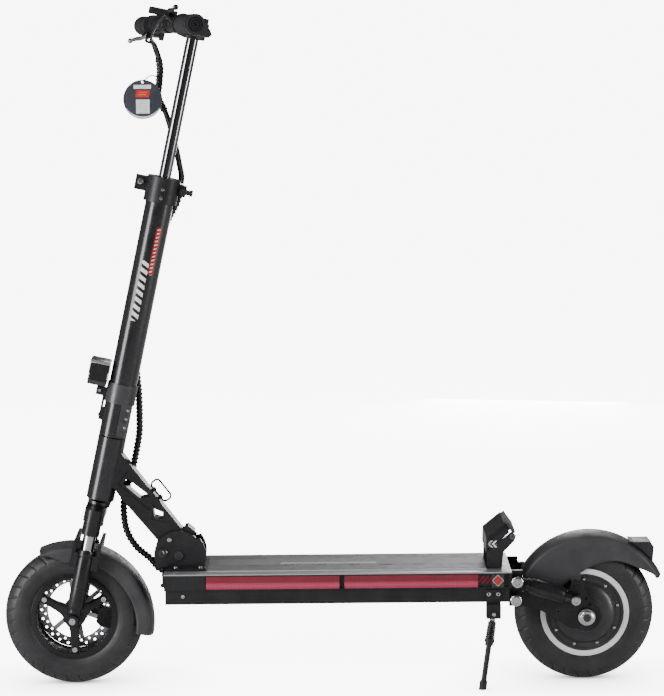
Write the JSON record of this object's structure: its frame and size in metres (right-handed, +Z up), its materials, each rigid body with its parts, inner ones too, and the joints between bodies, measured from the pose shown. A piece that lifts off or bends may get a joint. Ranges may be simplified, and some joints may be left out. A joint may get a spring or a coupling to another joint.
{
  "type": "electric kick scooter",
  "caption": "Folding electric kick scooter with suspended hub-motor rear wheel, disc-braked front wheel, telescoping stem and folding handlebar.",
  "frame": {"origin": "on the ground, at the centre of the bounding box of the whole scooter in plan", "axes": "+Z up, -X the riding direction (front wheel), +Y the rider's right side"},
  "size_m": [1.1992, 0.5881, 1.2373],
  "materials": {
    "frame_black": "satin",
    "fork_black": "gloss",
    "stem_paint": "satin",
    "collar_grey": "satin",
    "mudguard_plastic": "fine grain",
    "black_plastic": "matte",
    "gloss_black_plastic": "gloss",
    "tube_silver": "polished",
    "bolt_steel": "bright",
    "disc_steel": "ground",
    "rim_black": "satin",
    "ring_white": "gloss",
    "tyre_rubber": "matte",
    "grip_rubber": "soft",
    "cable_black": "matte",
    "mat_grey": "ribbed",
    "light_red": "lens",
    "lamp_clear": "clear",
    "pack_blue": "shrink film",
    "lever_alloy": "cast",
    "motor_grey": "satin",
    "tag_card": "printed"
  },
  "bodies": {
    "deck": {"deck_frame": "frame_black", "battery_tray": "frame_black", "grip_mat": "mat_grey", "deck_screws": "bolt_steel", "power_pack": "pack_blue", "side_lights": "light_red", "hinge_block": "frame_black", "footrest": "frame_black", "footrest_pad": "mat_grey", "pivot_bolts": "bolt_steel", "stand_bracket": "frame_black"},
    "charge_cap": {"charge_cap": "cable_black"},
    "kickstand": {"kickstand": "black_plastic", "stand_spring": "bolt_steel"},
    "front_frame": {"folding_arm": "frame_black", "head_tube": "stem_paint", "headset_rings": "bolt_steel", "cable_hose": "cable_black"},
    "fold_latch": {"fold_latch": "frame_black"},
    "carry_ring": {"carry_ring": "frame_black"},
    "steering": {"stem_tube": "stem_paint", "stem_collar": "collar_grey", "fork_crown": "fork_black", "stanchions": "tube_silver", "height_clamp": "frame_black", "lamp_bracket": "frame_black"},
    "clamp_lever": {"clamp_lever": "black_plastic"},
    "headlight": {"headlight": "gloss_black_plastic", "headlight_lens": "lamp_clear"},
    "fork_slider": {"fork_lowers": "fork_black", "front_axle": "bolt_steel", "front_mudguard": "mudguard_plastic", "brake_caliper": "fork_black"},
    "front_wheel": {"front_rim": "rim_black", "front_tyre": "tyre_rubber", "brake_disc": "disc_steel", "front_wheel_bolts": "bolt_steel"},
    "telescope": {"inner_tube": "tube_silver", "bar_head": "frame_black", "upper_cables": "cable_black"},
    "left_bar": {"left_bar": "frame_black", "left_grip": "grip_rubber", "left_controls": "black_plastic"},
    "left_brake_lever": {"left_brake_lever": "lever_alloy"},
    "horn_button": {"horn_button": "bolt_steel"},
    "right_bar": {"right_bar": "frame_black", "right_grip": "grip_rubber", "right_controls": "black_plastic"},
    "right_brake_lever": {"right_brake_lever": "lever_alloy"},
    "throttle_lever": {"throttle_lever": "black_plastic"},
    "swing": {"swing_arm": "frame_black", "rear_mudguard": "mudguard_plastic", "tail_light": "black_plastic", "motor_axle": "bolt_steel"},
    "rear_wheel": {"motor_housing": "motor_grey", "rim_rings": "ring_white", "rear_tyre": "tyre_rubber"},
    "shock_body": {"shock_body": "fork_black"},
    "shock_rod": {"shock_rod": "tube_silver"},
    "hang_tag": {"hang_tag": "tag_card"}
  },
  "joints": [
    {"name": "fold", "type": "hinge", "parent": "deck", "child": "front_frame", "pos_m": [-0.28, 0, 0.239], "axis": [0, 1, 0], "range_deg": [0, 75], "deforming": ["cable_hose"]},
    {"name": "latch_turn", "type": "hinge", "parent": "front_frame", "child": "fold_latch", "pos_m": [-0.2675, 0, 0.2772], "axis": [0, 1, 0], "range_deg": [-22, 0], "stiffness_Nm_per_rad": 0.2},
    {"name": "ring_turn", "type": "hinge", "parent": "front_frame", "child": "carry_ring", "pos_m": [-0.31879, 0, 0.35002], "axis": [0.6092, 0, -0.793], "range_deg": [-80, 80]},
    {"name": "steer", "type": "hinge", "parent": "front_frame", "child": "steering", "pos_m": [-0.42318, 0, 0.3414], "axis": [0.2113, 0, 0.9774], "range_deg": [-45, 45], "deforming": ["cable_hose"]},
    {"name": "clamp_lever_turn", "type": "hinge", "parent": "steering", "child": "clamp_lever", "pos_m": [-0.26343, 0, 0.89924], "axis": [0, 1, 0], "range_deg": [0, 80]},
    {"name": "lamp_tilt", "type": "hinge", "parent": "steering", "child": "headlight", "pos_m": [-0.42012, 0, 0.54127], "axis": [0, -1, 0], "range_deg": [0, 20]},
    {"name": "fork_travel", "type": "slide", "parent": "steering", "child": "fork_slider", "axis": [0.2113, 0, 0.9774], "range_m": [0, 0.025], "stiffness_N_per_m": 20000, "springref_m": -0.004},
    {"name": "front_wheel_spin", "type": "hinge", "parent": "fork_slider", "child": "front_wheel", "pos_m": [-0.4726, 0, 0.127], "axis": [0, 1, 0], "continuous": true},
    {"name": "height", "type": "slide", "parent": "steering", "child": "telescope", "axis": [0.2113, 0, 0.9774], "range_m": [-0.23, 0.08], "deforming": ["upper_cables"]},
    {"name": "left_bar_fold", "type": "hinge", "parent": "telescope", "child": "left_bar", "pos_m": [-0.27838, -0.04109, 1.1988], "axis": [0.9581, 0.1977, -0.2072], "range_deg": [0, 90], "deforming": ["upper_cables"]},
    {"name": "right_bar_fold", "type": "hinge", "parent": "telescope", "child": "right_bar", "pos_m": [-0.29569, 0.04109, 1.19714], "axis": [-0.9581, -0.1977, 0.2072], "range_deg": [0, 90], "deforming": ["upper_cables"]},
    {"name": "left_brake_pull", "type": "hinge", "parent": "left_bar", "child": "left_brake_lever", "pos_m": [-0.27732, -0.13042, 1.2185], "axis": [0.7006, 0.1616, 0.695], "range_deg": [0, 6], "stiffness_Nm_per_rad": 2, "springref_deg": -2.86},
    {"name": "right_brake_pull", "type": "hinge", "parent": "right_bar", "child": "right_brake_lever", "pos_m": [-0.33163, 0.12309, 1.17835], "axis": [0.6708, 0.1266, -0.7307], "range_deg": [0, 6], "stiffness_Nm_per_rad": 2, "springref_deg": -2.86},
    {"name": "horn_press", "type": "slide", "parent": "left_bar", "child": "horn_button", "axis": [-0.9581, -0.1977, 0.2072], "range_m": [0, 0.002], "stiffness_N_per_m": 400, "springref_m": -0.0005},
    {"name": "throttle_turn", "type": "hinge", "parent": "right_bar", "child": "throttle_lever", "pos_m": [-0.30888, 0.1037, 1.19589], "axis": [-0.2061, 0.9783, -0.0197], "range_deg": [0, 30], "stiffness_Nm_per_rad": 0.15, "springref_deg": -17.19},
    {"name": "tag_swing", "type": "hinge", "parent": "telescope", "child": "hang_tag", "pos_m": [-0.33286, -0.0195, 1.09769], "axis": [0, 1, 0], "range_deg": [-10, 25]},
    {"name": "cap_open", "type": "hinge", "parent": "deck", "child": "charge_cap", "pos_m": [-0.3074, -0.064, 0.213], "axis": [0, 1, 0], "range_deg": [0, 110]},
    {"name": "stand_fold", "type": "hinge", "parent": "deck", "child": "kickstand", "pos_m": [0.289, -0.088, 0.141], "axis": [0, -1, 0], "range_deg": [0, 76]},
    {"name": "swing_travel", "type": "hinge", "parent": "deck", "child": "swing", "pos_m": [0.33, 0, 0.162], "axis": [0, -1, 0], "range_deg": [0, 8], "stiffness_Nm_per_rad": 900, "springref_deg": -2.86},
    {"name": "rear_wheel_spin", "type": "hinge", "parent": "swing", "child": "rear_wheel", "pos_m": [0.4594, 0, 0.127], "axis": [0, 1, 0], "continuous": true},
    {"name": "shock_turn", "type": "hinge", "parent": "deck", "child": "shock_body", "pos_m": [0.3325, 0, 0.196], "axis": [0, -1, 0], "range_deg": [-2, 8.75]},
    {"name": "shock_travel", "type": "slide", "parent": "shock_body", "child": "shock_rod", "axis": [0.9495, 0, -0.3138], "range_m": [-0.00518, 0.0005]}
  ],
  "couplings": [
    {"joint": "shock_turn", "follows": "swing_travel", "ratio": 0.9442},
    {"joint": "shock_travel", "follows": "swing_travel", "m_per_rad": -0.03351}
  ]
}
